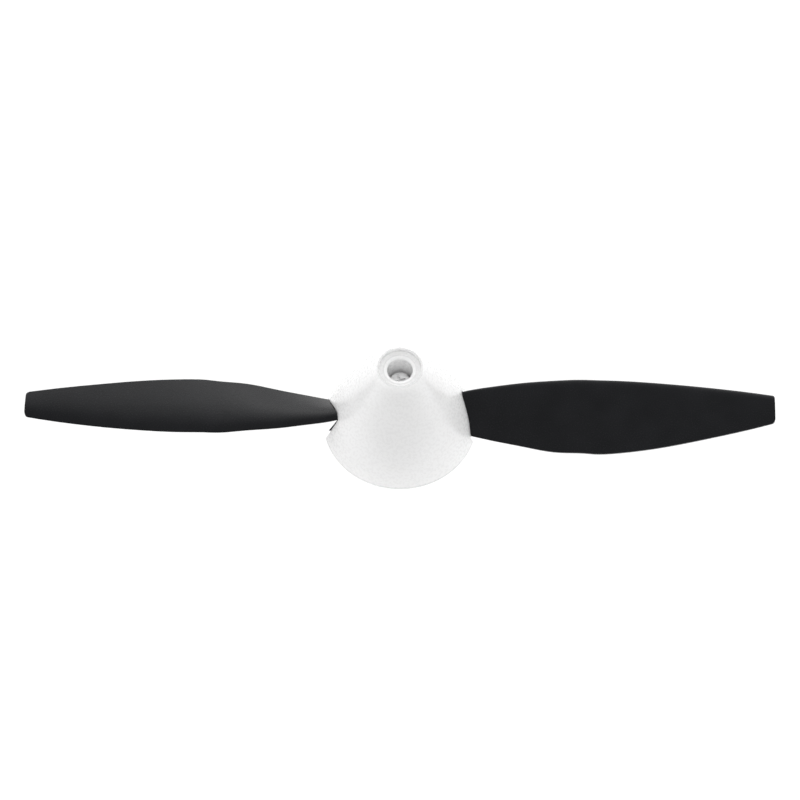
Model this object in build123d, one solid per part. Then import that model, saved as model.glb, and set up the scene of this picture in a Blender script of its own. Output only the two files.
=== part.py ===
from build123d import *
import math
import os

# Two-blade folding propeller with a conical spinner, for a small model aircraft.
# Millimetres. The origin is on the spin axis at the rear face, +Z points to the nose
# and +X lies along the right blade. Right-hand tractor: seen from the nose it turns
# counter-clockwise, so the leading edge of the +X blade is at +Y.

# ---- driving dimensions -------------------------------------------------
TIP_R = 65.0            # propeller diameter 130
TIP_CORNER_R = 0.9      # plan radius of the two tip corners

WALL = 1.0              # spinner wall, measured square to the axis
# outside of the spinner, (radius, height)
OUTER = [(13.40, 0.0), (13.08, 0.9), (12.74, 1.8), (12.14, 3.5), (11.42, 5.2), (10.66, 6.9),
         (9.84, 8.6), (8.90, 10.4), (7.90, 12.1), (6.88, 13.9), (5.90, 15.6), (4.92, 17.3),
         (4.06, 18.74)]
RIM_R = 0.18            # edge radius of the rear rim
NOSE_Z = 19.20          # top of the nose rim
NOSE_RIM_R = 3.94       # outside of the nose rim
RECESS_R = 3.62         # recess wall in the nose
RECESS_Z = 18.30        # recess floor
HOLE_R = 2.20           # screw access hole
HOLE_CHAMFER_R = 2.95   # outside of the rounded edge around the hole
SEAT_Z = 13.0           # seat of the screw washer
BOSS_R = 3.3            # boss around the screw
BOSS_BOTTOM = 9.2       # boss end, which bears on the adapter
SCREW_CLEAR_R = 1.1     # clearance hole for the M2 screw
WEB_T = 0.8             # four webs between the boss and the wall

PIVOT_X = 7.6           # hinge axis of each blade, parallel to Y
PIVOT_Z = 3.4
EAR_R = 2.2             # rounded end of the yoke's ears
EAR_IN = 2.9            # inner face of an ear
EAR_OUT = 4.1           # outer face of an ear
KNUCKLE_R = 2.1         # rounded end of a blade
KNUCKLE_HALF = 2.82
PIN_R = 1.0             # shank of the hinge screw
PIN_BORE_R = 1.05
HINGE_HEAD_R = 1.75
HINGE_HEAD_T = 1.2
HEX_AF = 1.5            # hex socket of the hinge screws

FLANGE_R = 4.6          # adapter flange behind the yoke
FLANGE_T = 1.0
BARREL_R = 2.5          # adapter barrel, M5
BARREL_TOP = 9.2
SHAFT_R = 1.0           # motor shaft, 2 mm
SHAFT_DEPTH = 5.5
TAP_R = 1.0             # M2 thread in the front of the adapter, drawn as a plain hole
TAP_DEPTH = 3.0
YOKE_HALF_X = 4.8       # yoke's centre block
YOKE_TOP = 5.8
WASHER_R = 4.0
WASHER_T = 0.4
NUT_AF = 8.0            # thin M5 nut
NUT_T = 2.4

SCREW_R = 0.98          # M2 pan head screw
HEAD_R = 1.9
HEAD_T = 1.25
SCREW_REACH = 1.9       # length of thread in the adapter
S_WASHER_R = 2.05
S_WASHER_T = 0.3

SLOT_GAP = 0.16         # gap between the front of a blade and its slot
SLOT_TE_Y = -4.02       # trailing edge side of the slot

# one blade: radius, leading edge (y, z), trailing edge (y, z), thickness
STATIONS = [
    (10.9, 2.68, 5.90, -3.14, 1.30, 1.75),
    (11.6, 2.87, 5.89, -3.30, 1.22, 1.75),
    (12.84, 3.16, 5.87, -3.58, 1.13, 1.75),
    (15.4, 3.62, 5.86, -4.20, 1.02, 1.72),
    (18.04, 4.04, 5.84, -4.80, 0.97, 1.70),
    (23.24, 4.69, 5.80, -6.00, 1.03, 1.62),
    (28.45, 5.10, 5.70, -6.88, 1.24, 1.54),
    (33.65, 5.20, 5.58, -7.30, 1.54, 1.46),
    (38.85, 5.07, 5.46, -7.22, 1.92, 1.38),
    (44.06, 4.74, 5.38, -6.74, 2.42, 1.30),
    (49.26, 4.27, 5.33, -6.00, 3.00, 1.22),
    (54.46, 3.68, 5.33, -5.12, 3.63, 1.14),
    (59.67, 2.96, 5.38, -4.16, 4.28, 1.06),
    (64.18, 2.20, 5.46, -3.20, 4.88, 0.98),
    (66.0, 1.88, 5.50, -2.78, 5.12, 0.95),
]
ROOT = (9.0, 2.40, 5.05, -2.55, 2.0, 2.4)       # section where the neck becomes blade
SLOT_SECTION = (11.2, 2.76, 5.89, -3.24, 1.25, 1.75)

LOW = (Align.CENTER, Align.CENTER, Align.MIN)
HIGH = (Align.CENTER, Align.CENTER, Align.MAX)

os.makedirs("parts", exist_ok=True)


def polygon(points):
    """Flat face with straight sides through the points."""
    return make_face(Polyline(*[Vector(*p) for p in points], close=True).edges())


def across(radius, length, x=PIVOT_X, z=PIVOT_Z):
    """Cylinder parallel to Y, centred on y = 0."""
    return Pos(x, 0, z) * Rot(X=90) * Cylinder(radius, length)


# ---- blade --------------------------------------------------------------
def lower_share(r):
    """Share of the thickness behind the chord: even at the root, flat-backed further out."""
    t = min(1.0, max(0.0, (r - 13.0) / 14.0))
    return 0.42 - 0.24 * t


def airfoil(r, ly, lz, ty, tz, th, n=15):
    """Front and rear outline of a blade section in the plane x = r, leading edge first."""
    cy, cz = ty - ly, tz - lz
    c = math.hypot(cy, cz)
    dy, dz = cy / c, cz / c
    ny, nz = dz, -dy
    if nz < 0:
        ny, nz = -ny, -nz
    low = lower_share(r)
    edge = 0.17 * th            # half thickness of the blunt trailing edge
    front, rear = [], []
    for i in range(n + 1):
        s = 0.5 * (1 - math.cos(math.pi * i / n))
        f = 2.969 * math.sqrt(s) - 1.26 * s - 3.516 * s ** 2 + 2.843 * s ** 3 - 1.015 * s ** 4
        f = max(0.0, f)
        blunt = edge * s ** 3
        for pts, h in ((front, (1 - low) * th * f + blunt), (rear, -low * th * f - blunt)):
            pts.append((r, ly + dy * s * c + ny * h, lz + dz * s * c + nz * h))
    return front, rear


def section(station):
    front, rear = airfoil(*station)
    a = Spline(*front)
    b = Edge.make_line(front[-1], rear[-1])
    c = Spline(*reversed(rear))
    return Wire([a.edge(), b, c.edge()])


def make_blade():
    blade = Solid.make_loft([section(s) for s in STATIONS])
    # squared tip with rounded corners, seen from the nose
    outline = polygon([(5, -14), (55.5, -14), (55.5, -5.10), (TIP_R, -3.03), (TIP_R, 2.08), (55.5, 3.72),
                       (55.5, 14), (5, 14)])
    outline = fillet([v for v in outline.vertices() if abs(v.X - TIP_R) < 1e-6], TIP_CORNER_R)
    blade = blade & extrude(outline, 12)
    # root: a knuckle on the hinge axis and a neck that runs out into the blade
    ramp = Solid.make_loft([section(ROOT), section(STATIONS[0])], True)
    knuckle = across(KNUCKLE_R, 2 * KNUCKLE_HALF)
    neck = Pos(PIVOT_X, 0, PIVOT_Z) * Box(2.3, 2 * KNUCKLE_HALF - 0.5, 3.3,
                                          align=(Align.MIN, Align.CENTER, Align.CENTER))
    # gusset under the leading edge at the root, with a slanting end in the slot
    gusset = extrude(polygon([(8.4, 2.62, 5.50), (8.4, 2.90, 5.0), (8.4, 3.10, 2.4), (8.4, 0.4, 2.4), (8.4, 0.4, 3.9)]),
                     5, dir=(1, 0, 0))
    cut = Plane(origin=(11.09, 0, 0), z_dir=(1, -0.736, 0.413)) * Box(30, 30, 30, align=LOW)
    body = blade + ramp + neck + knuckle + (gusset - cut)
    body = body - across(PIN_BORE_R, 20)
    # beyond the knuckle's width the blade keeps clear of the ears
    for s in (-1, 1):
        body = body - Pos(PIVOT_X, s * (EAR_IN - 0.08 + 3), PIVOT_Z) * Rot(X=90) * Cylinder(EAR_R + 0.42, 6)
    return body


# ---- spinner ------------------------------------------------------------
def spinner_shell():
    inner = [(r - WALL * (1.0 + 0.12 * min(1, z / 6.0)), z) for r, z in OUTER if z <= 15.7]
    outside = [(OUTER[0][0] - 0.03, RIM_R)] + OUTER[1:]
    with BuildPart() as bp:
        with BuildSketch(Plane.XZ):
            with BuildLine():
                rim = Line((OUTER[0][0] - RIM_R - 0.02, 0), (inner[0][0] + 0.12, 0))
                edge = Line(rim @ 1, (inner[0][0], 0.12))
                skin = Spline(edge @ 1, *inner[1:-1])
                # roof of the cavity, down the outside of the boss and back up the screw hole
                boss = Polyline(skin @ 1, (BOSS_R, inner[-2][1] + 0.25), (BOSS_R, BOSS_BOTTOM),
                                (SCREW_CLEAR_R, BOSS_BOTTOM), (SCREW_CLEAR_R, SEAT_Z), (HOLE_R, SEAT_Z),
                                (HOLE_R, RECESS_Z - 0.20))
                # rounded edge of the hole, recess floor, recess wall and rounded nose rim
                a1 = ThreePointArc(boss @ 1, (HOLE_R + 0.17, RECESS_Z - 0.06), (HOLE_CHAMFER_R, RECESS_Z - 0.02))
                a2 = Line(a1 @ 1, (RECESS_R - 0.15, RECESS_Z))
                a3 = ThreePointArc(a2 @ 1, (RECESS_R - 0.04, RECESS_Z + 0.05), (RECESS_R, RECESS_Z + 0.17))
                a4 = Line(a3 @ 1, (RECESS_R + 0.01, NOSE_Z - 0.10))
                a5 = ThreePointArc(a4 @ 1, (RECESS_R + 0.04, NOSE_Z - 0.03), (RECESS_R + 0.11, NOSE_Z))
                a6 = ThreePointArc(a5 @ 1, (NOSE_RIM_R - 0.06, NOSE_Z - 0.08), (NOSE_RIM_R, NOSE_Z - 0.26))
                a7 = Line(a6 @ 1, OUTER[-1])
                cone = Spline(*reversed(outside))
                ThreePointArc(cone @ 1, (OUTER[0][0] - 0.07, 0.06), rim @ 0)
            make_face()
        revolve(axis=Axis.Z)
    return bp.part


def slot_cutter():
    """Slot of the right blade: the blade's section with a gap, open to the rear."""
    front, _ = airfoil(*SLOT_SECTION)
    # leading edge side, leaning in a little towards the nose, with a rounded corner
    pts = [(3.46, -1.0), (3.41, 0.0), (3.32, 2.4), (3.10, 4.9), (3.00, 5.55), (2.88, 5.88), (2.64, 6.06)]
    pts += [(y - SLOT_GAP * 0.55, z + SLOT_GAP * 0.85) for _, y, z in front[3:-2]]
    pts += [(-3.62, 1.52), (SLOT_TE_Y, 1.12), (SLOT_TE_Y, -1.0)]
    return extrude(polygon([(5.4, y, z) for y, z in pts]), 22, dir=(1, 0, 0))


def make_spinner():
    body = spinner_shell()
    slot = slot_cutter()
    body = body - slot - Rot(Z=180) * slot
    inside = [(r - 0.5, 0, z) for r, z in OUTER if z <= 15.7]
    envelope = revolve(polygon([(0, 0, 0)] + inside + [(0, 0, 15.6)]), axis=Axis.Z)
    for k in range(4):
        web = Pos(BOSS_R - 0.2, 0, 9.6) * Box(7, WEB_T, 5.0, align=(Align.MIN, Align.CENTER, Align.MIN))
        body = body + ((Rot(Z=45 + 90 * k) * web) & envelope)
    return body


# ---- yoke, adapter and fasteners ------------------------------------------
def make_yoke():
    body = Pos(0, 0, FLANGE_T) * Box(2 * YOKE_HALF_X, 2 * EAR_OUT, YOKE_TOP - FLANGE_T, align=LOW)
    body = fillet(body.edges().filter_by(Axis.X), 0.7)
    for s in (1, -1):
        side = Align.MIN if s > 0 else Align.MAX
        body = body + Pos(s * 4.0, 0, PIVOT_Z) * Box(PIVOT_X - 4.0, 2 * EAR_OUT, 2 * EAR_R,
                                                     align=(side, Align.CENTER, Align.CENTER))
        body = body + across(EAR_R, 2 * EAR_OUT, x=s * PIVOT_X)
    for s in (1, -1):
        side = Align.MIN if s > 0 else Align.MAX
        body = body - Pos(s * 5.2, 0, 3) * Box(10, 2 * EAR_IN, 14, align=(side, Align.CENTER, Align.CENTER))
        body = body - across(PIN_R + 0.02, 20, x=s * PIVOT_X)
    return body - Pos(0, 0, 3) * Cylinder(BARREL_R + 0.03, 12)


def make_adapter():
    flange = Cylinder(FLANGE_R, FLANGE_T, align=LOW)
    flange = chamfer(flange.edges().filter_by(GeomType.CIRCLE), 0.15)
    barrel = Cylinder(BARREL_R, BARREL_TOP, align=LOW)
    barrel = chamfer(barrel.edges().group_by(Axis.Z)[-1], 0.3)
    body = flange + barrel - Cylinder(SHAFT_R, SHAFT_DEPTH, align=LOW)
    return body - Pos(0, 0, BARREL_TOP) * Cylinder(TAP_R, TAP_DEPTH, align=HIGH)


def make_nut():
    z = YOKE_TOP + WASHER_T
    corner = NUT_AF / 2 / math.cos(math.pi / 6)
    body = extrude(Pos(0, 0, z) * RegularPolygon(corner, 6), NUT_T)
    rounded = Pos(0, 0, z) * Cylinder(6, NUT_T / 2, align=LOW) + \
        Pos(0, 0, z + NUT_T / 2) * Cone(corner + 1.2, corner - 0.25, NUT_T / 2, align=LOW)
    return (body & rounded) - Pos(0, 0, z) * Cylinder(BARREL_R + 0.02, 8)


def make_spinner_screw():
    z = SEAT_Z + S_WASHER_T
    head = Pos(0, 0, z) * Cylinder(HEAD_R, HEAD_T, align=LOW)
    head = fillet(head.edges().filter_by(GeomType.CIRCLE).group_by(Axis.Z)[-1], 0.5)
    low = BARREL_TOP - SCREW_REACH
    body = head + Pos(0, 0, low) * Cylinder(SCREW_R, z - low + 0.2, align=LOW)
    for a in (20, 110):
        body = body - Pos(0, 0, z + 0.5) * Rot(Z=a) * Box(2.0, 0.42, 2, align=LOW)
    return body


def make_hinge_screw():
    """The right blade's hinge screw, with its head on the trailing edge side."""
    head = Cylinder(HINGE_HEAD_R, HINGE_HEAD_T, align=LOW)
    head = fillet(head.edges().filter_by(GeomType.CIRCLE).group_by(Axis.Z)[-1], 0.25)
    head = head - Pos(0, 0, 0.5) * extrude(RegularPolygon(HEX_AF / 2 / math.cos(math.pi / 6), 6), 2)
    return across(PIN_R, 2 * EAR_OUT) + Pos(PIVOT_X, -EAR_OUT, PIVOT_Z) * Rot(X=90) * head


if __name__ == "__main__":
    half_turn = Rot(Z=180)
    blade = make_blade()
    hinge_screw = make_hinge_screw()
    parts = {
        "spinner": make_spinner(),
        "blade_right": blade,
        "blade_left": half_turn * blade,
        "blade_yoke": make_yoke(),
        "shaft_adapter": make_adapter(),
        "yoke_washer": Pos(0, 0, YOKE_TOP) * (Cylinder(WASHER_R, WASHER_T, align=LOW) - Cylinder(BARREL_R + 0.1, 2)),
        "yoke_nut": make_nut(),
        "spinner_screw": make_spinner_screw(),
        "screw_washer": Pos(0, 0, SEAT_Z) * (Cylinder(S_WASHER_R, S_WASHER_T, align=LOW) - Cylinder(SCREW_CLEAR_R, 2)),
        "right_hinge_screw": hinge_screw,
        "left_hinge_screw": half_turn * hinge_screw,
    }
    for name, shape in parts.items():
        print(name, len(shape.solids()), round(shape.volume, 2), shape.is_valid)
        export_step(shape, "parts/" + name + ".step")
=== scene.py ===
import math

import bmesh
import bpy
from mathutils import Matrix, Vector


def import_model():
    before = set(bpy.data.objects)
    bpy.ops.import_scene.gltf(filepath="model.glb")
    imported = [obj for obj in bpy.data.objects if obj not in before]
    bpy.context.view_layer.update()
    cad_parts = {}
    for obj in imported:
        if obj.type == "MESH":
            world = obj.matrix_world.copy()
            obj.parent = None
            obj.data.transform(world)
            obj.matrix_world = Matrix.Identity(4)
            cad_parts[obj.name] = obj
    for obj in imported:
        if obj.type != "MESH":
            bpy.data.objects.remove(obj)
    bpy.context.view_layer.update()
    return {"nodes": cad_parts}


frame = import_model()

NODES = frame["nodes"]
MM = 0.001
NOSE_CREASE_SHADE = 0.36         # painted shade: how much darker the creases and the rim's edge are painted
HOLE_STEP_SHADE = 0.13
RIM_EDGE_SHADE = 0.32


# ---- material helpers ----------------------------------------------------
def new_mat(name):
    m = bpy.data.materials.new(name)
    m.use_nodes = True
    nt = m.node_tree
    for n in list(nt.nodes):
        nt.nodes.remove(n)
    out = nt.nodes.new("ShaderNodeOutputMaterial")
    b = nt.nodes.new("ShaderNodeBsdfPrincipled")
    nt.links.new(b.outputs["BSDF"], out.inputs["Surface"])
    return m, nt, b


def coords(nt):
    """Object coordinates, which are the part's own frame in metres, given in millimetres."""
    tc = nt.nodes.new("ShaderNodeTexCoord")
    mp = nt.nodes.new("ShaderNodeMapping")
    mp.inputs["Scale"].default_value = (1000, 1000, 1000)
    nt.links.new(tc.outputs["Object"], mp.inputs["Vector"])
    return mp.outputs["Vector"]


def noise(nt, vec, scale, detail=3.0, rough=0.5):
    n = nt.nodes.new("ShaderNodeTexNoise")
    n.inputs["Scale"].default_value = scale
    n.inputs["Detail"].default_value = detail
    n.inputs["Roughness"].default_value = rough
    nt.links.new(vec, n.inputs["Vector"])
    return n.outputs["Fac"]


def ramp(nt, fac, stops):
    r = nt.nodes.new("ShaderNodeValToRGB")
    el = r.color_ramp.elements
    while len(el) < len(stops):
        el.new(0.5)
    for e, (p, c) in zip(el, stops):
        e.position = p
        e.color = c if len(c) == 4 else (*c, 1)
    nt.links.new(fac, r.inputs["Fac"])
    return r.outputs["Color"]


def maprange(nt, fac, a, b, c, d):
    m = nt.nodes.new("ShaderNodeMapRange")
    m.inputs["From Min"].default_value = a
    m.inputs["From Max"].default_value = b
    m.inputs["To Min"].default_value = c
    m.inputs["To Max"].default_value = d
    nt.links.new(fac, m.inputs["Value"])
    return m.outputs["Result"]


def bump(nt, height, strength, dist, prev=None):
    b = nt.nodes.new("ShaderNodeBump")
    b.inputs["Strength"].default_value = strength
    b.inputs["Distance"].default_value = dist
    nt.links.new(height, b.inputs["Height"])
    if prev is not None:
        nt.links.new(prev, b.inputs["Normal"])
    return b.outputs["Normal"]


def math_node(nt, op, a, b=None):
    m = nt.nodes.new("ShaderNodeMath")
    m.operation = op
    for i, v in enumerate((a, b)):
        if v is None:
            continue
        if isinstance(v, (int, float)):
            m.inputs[i].default_value = v
        else:
            nt.links.new(v, m.inputs[i])
    return m.outputs[0]


def mix(nt, fac, a, b):
    """a where fac is 0, b where it is 1."""
    d = math_node(nt, "SUBTRACT", b, a)
    return math_node(nt, "ADD", a, math_node(nt, "MULTIPLY", d, fac))


def xyz(nt, vec):
    sep = nt.nodes.new("ShaderNodeSeparateXYZ")
    nt.links.new(vec, sep.inputs["Vector"])
    return sep.outputs["X"], sep.outputs["Y"], sep.outputs["Z"]


def hump(nt, val, centre, half):
    """1 where val is at the centre, falling to 0 at half away."""
    d = math_node(nt, "ABSOLUTE", math_node(nt, "SUBTRACT", val, centre))
    return maprange(nt, d, 0.0, half, 1.0, 0.0)


def times(nt, col, fac):
    """Scale a colour by a number."""
    m = nt.nodes.new("ShaderNodeVectorMath")
    m.operation = "SCALE"
    nt.links.new(col, m.inputs[0])
    nt.links.new(fac, m.inputs["Scale"])
    return m.outputs["Vector"]


def mat_blade():
    m, nt, b = new_mat("blade_nylon")
    v = coords(nt)
    grain = noise(nt, v, 3.2, 4, 0.62)
    cloud = noise(nt, v, 0.22, 3, 0.5)
    col = ramp(nt, cloud, [(0.3, (0.0046, 0.0050, 0.0062)), (0.7, (0.0074, 0.0078, 0.0094))])
    nt.links.new(col, b.inputs["Base Color"])
    nt.links.new(maprange(nt, grain, 0.3, 0.7, 0.20, 0.31), b.inputs["Roughness"])
    nt.links.new(bump(nt, grain, 0.35, 0.00006), b.inputs["Normal"])
    b.inputs["Specular IOR Level"].default_value = 0.13
    return m


def mat_spinner():
    m, nt, b = new_mat("spinner_abs")
    v = coords(nt)
    fine = noise(nt, v, 2.2, 3, 0.5)
    cloud = noise(nt, v, 0.12, 2, 0.5)
    col = ramp(nt, cloud, [(0.3, (0.880, 0.880, 0.878)), (0.7, (0.905, 0.905, 0.905))])
    # painted shade darkens the creases of the nose and the rim's edge, and painted light brightens the inside of the
    # bore
    x, y, z = xyz(nt, v)
    r = math_node(nt, "SQRT", math_node(nt, "ADD", math_node(nt, "MULTIPLY", x, x), math_node(nt, "MULTIPLY", y, y)))
    nose = maprange(nt, z, 17.6, 17.9, 0.0, 1.0)
    # painted shade in the two creases of the nose
    crease_shade = math_node(nt, "ADD", math_node(nt, "MULTIPLY", hump(nt, r, 3.77, 0.26), NOSE_CREASE_SHADE),
                     math_node(nt, "MULTIPLY", hump(nt, r, 2.82, 0.14), HOLE_STEP_SHADE))
    # painted shade along the rim's edge
    rim_shade = math_node(nt, "MULTIPLY", maprange(nt, z, 0.10, 0.55, 1.0, 0.0), RIM_EDGE_SHADE)
    # painted light: the inside of the bore is painted lighter
    bore_light = math_node(nt, "MULTIPLY", maprange(nt, r, 2.22, 2.30, 0.088, 0.0), maprange(nt, z, 12.0, 12.5, 0.0, 1.0))
    # the painted shade, less the painted light, scales the base colour
    painted_shade_and_light = math_node(nt, "SUBTRACT", math_node(nt, "ADD", math_node(nt, "MULTIPLY", nose, crease_shade), rim_shade), bore_light)
    col = times(nt, col, math_node(nt, "SUBTRACT", 1.0, painted_shade_and_light))
    nt.links.new(col, b.inputs["Base Color"])
    nt.links.new(maprange(nt, fine, 0.3, 0.7, 0.24, 0.32), b.inputs["Roughness"])
    nt.links.new(bump(nt, fine, 0.10, 0.00003), b.inputs["Normal"])
    b.inputs["Specular IOR Level"].default_value = 0.5
    # the polished skin that a glossy mould leaves
    b.inputs["Coat Weight"].default_value = 0.7
    b.inputs["Coat Roughness"].default_value = 0.13
    # translucent white moulding: light spreads about a wall thickness
    b.inputs["Subsurface Weight"].default_value = 1.0
    b.inputs["Subsurface Radius"].default_value = (1.0, 1.0, 1.0)
    b.inputs["Subsurface Scale"].default_value = 0.0010
    return m


def mat_yoke():
    m, nt, b = new_mat("yoke_nylon")
    v = coords(nt)
    grain = noise(nt, v, 2.4, 4, 0.6)
    col = ramp(nt, grain, [(0.3, (0.010, 0.010, 0.011)), (0.7, (0.018, 0.018, 0.019))])
    nt.links.new(col, b.inputs["Base Color"])
    nt.links.new(maprange(nt, grain, 0.3, 0.7, 0.42, 0.6), b.inputs["Roughness"])
    nt.links.new(bump(nt, grain, 0.4, 0.00006), b.inputs["Normal"])
    return m


def mat_metal(name, lo, hi, r0, r1):
    m, nt, b = new_mat(name)
    v = coords(nt)
    sc = nt.nodes.new("ShaderNodeMapping")
    sc.inputs["Scale"].default_value = (0.25, 0.25, 6.0)
    nt.links.new(v, sc.inputs["Vector"])
    turn = noise(nt, sc.outputs["Vector"], 3.0, 3, 0.6)
    spots = noise(nt, v, 1.1, 3, 0.5)
    col = ramp(nt, spots, [(0.3, lo), (0.7, hi)])
    nt.links.new(col, b.inputs["Base Color"])
    b.inputs["Metallic"].default_value = 1.0
    nt.links.new(maprange(nt, turn, 0.3, 0.7, r0, r1), b.inputs["Roughness"])
    nt.links.new(bump(nt, turn, 0.2, 0.00003), b.inputs["Normal"])
    return m


BLADE = mat_blade()
SPIN = mat_spinner()
YOKE = mat_yoke()
STEEL = mat_metal("zinc_steel", (0.56, 0.57, 0.58), (0.68, 0.69, 0.70), 0.22, 0.38)
NICKEL = mat_metal("nickel_screw", (0.86, 0.86, 0.86), (0.93, 0.93, 0.93), 0.26, 0.40)
BRASS = mat_metal("turned_brass", (0.70, 0.52, 0.22), (0.80, 0.62, 0.30), 0.20, 0.36)

MATS = {"spinner": SPIN, "blade_right": BLADE, "blade_left": BLADE, "blade_yoke": YOKE, "shaft_adapter": BRASS,
        "yoke_washer": STEEL, "yoke_nut": STEEL, "spinner_screw": NICKEL, "screw_washer": NICKEL,
        "right_hinge_screw": STEEL, "left_hinge_screw": STEEL}
for name, mat in MATS.items():
    o = NODES[name]
    if not o.material_slots:
        o.data.materials.append(mat)
    for s in o.material_slots:
        s.material = mat


# ---- stage, light and camera ---------------------------------------------
def stage_floor():
    me = bpy.data.meshes.new("studio_floor")
    bm = bmesh.new()
    r = 3.0
    vs = [bm.verts.new((x, y, -0.085)) for x, y in ((-r, -0.32), (r, -0.32), (r, r), (-r, r))]
    bm.faces.new(vs)
    bm.to_mesh(me)
    bm.free()
    o = bpy.data.objects.new("studio_floor", me)
    bpy.context.scene.collection.objects.link(o)
    m, nt, b = new_mat("floor_white")
    b.inputs["Base Color"].default_value = (0.9, 0.9, 0.9, 1)
    b.inputs["Roughness"].default_value = 0.9
    b.inputs["Emission Color"].default_value = (1, 1, 1, 1)
    b.inputs["Emission Strength"].default_value = 0.14
    me.materials.append(m)


stage_floor()


# radiance of the studio by direction: azimuth from the front (-Y) through the right (+X), every 45 degrees
LOW_BAND = (0.308, 0.556, 1.098, 1.704, 2.309, 1.704, 1.098, 0.556)      # near the horizon
MID_BAND = (0.938, 0.981, 1.143, 1.384, 1.653, 1.384, 1.143, 0.981)      # half way up
TOP = 0.924                                                 # overhead


def band(nt, azimuth, values, label):
    top = max(max(values), 1e-4)
    r = nt.nodes.new("ShaderNodeValToRGB")
    r.label = label
    el = r.color_ramp.elements
    while len(el) < 9:
        el.new(0.5)
    for i in range(9):
        c = values[i % 8] / top
        el[i].position = i / 8
        el[i].color = (c, c, c, 1)
    nt.links.new(azimuth, r.inputs["Fac"])
    m = nt.nodes.new("ShaderNodeMath")
    m.operation = "MULTIPLY"
    m.inputs[1].default_value = top
    nt.links.new(r.outputs["Color"], m.inputs[0])
    return m.outputs[0]


def world():
    w = bpy.data.worlds.new("studio")
    bpy.context.scene.world = w
    w.use_nodes = True
    nt = w.node_tree
    for n in list(nt.nodes):
        nt.nodes.remove(n)
    out = nt.nodes.new("ShaderNodeOutputWorld")
    bg = nt.nodes.new("ShaderNodeBackground")
    tc = nt.nodes.new("ShaderNodeTexCoord")
    sep = nt.nodes.new("ShaderNodeSeparateXYZ")
    nt.links.new(tc.outputs["Generated"], sep.inputs["Vector"])
    ang = math_node(nt, "ARCTAN2", sep.outputs["X"], math_node(nt, "MULTIPLY", sep.outputs["Y"], -1.0))
    turn = math_node(nt, "FRACT", math_node(nt, "ADD", math_node(nt, "DIVIDE", ang, 2 * math.pi), 1.0))
    low = band(nt, turn, LOW_BAND, "low")
    mid = band(nt, turn, MID_BAND, "mid")
    f1 = maprange(nt, sep.outputs["Z"], 0.08, 0.42, 0.0, 1.0)
    f2 = maprange(nt, sep.outputs["Z"], 0.45, 0.85, 0.0, 1.0)
    val = mix(nt, f2, mix(nt, f1, low, mid), TOP)
    nt.links.new(val, bg.inputs["Strength"])
    nt.links.new(bg.outputs["Background"], out.inputs["Surface"])
    bg.inputs["Color"].default_value = (1, 1, 1, 1)


world()

ELEV = math.radians(60.7)
DIST = 0.600
PX_PER_M = 5722.0
cam = bpy.data.cameras.new("camera")
cam.sensor_width = 36.0
cam.lens = 36.0 * DIST / (800.0 / PX_PER_M)
cam.clip_start = 0.01
cam.clip_end = 20.0
cam_o = bpy.data.objects.new("camera", cam)
bpy.context.scene.collection.objects.link(cam_o)
up = Vector((0, math.sin(ELEV), math.cos(ELEV)))
back = Vector((0, -math.cos(ELEV), math.sin(ELEV)))
aim = up * (21.7 / PX_PER_M) + Vector((0.1 / PX_PER_M, 0, 0))
cam_o.location = aim + back * DIST
cam_o.rotation_euler = (-back).to_track_quat("-Z", "Y").to_euler()
bpy.context.scene.camera = cam_o
bpy.context.scene.view_settings.view_transform = "Standard"
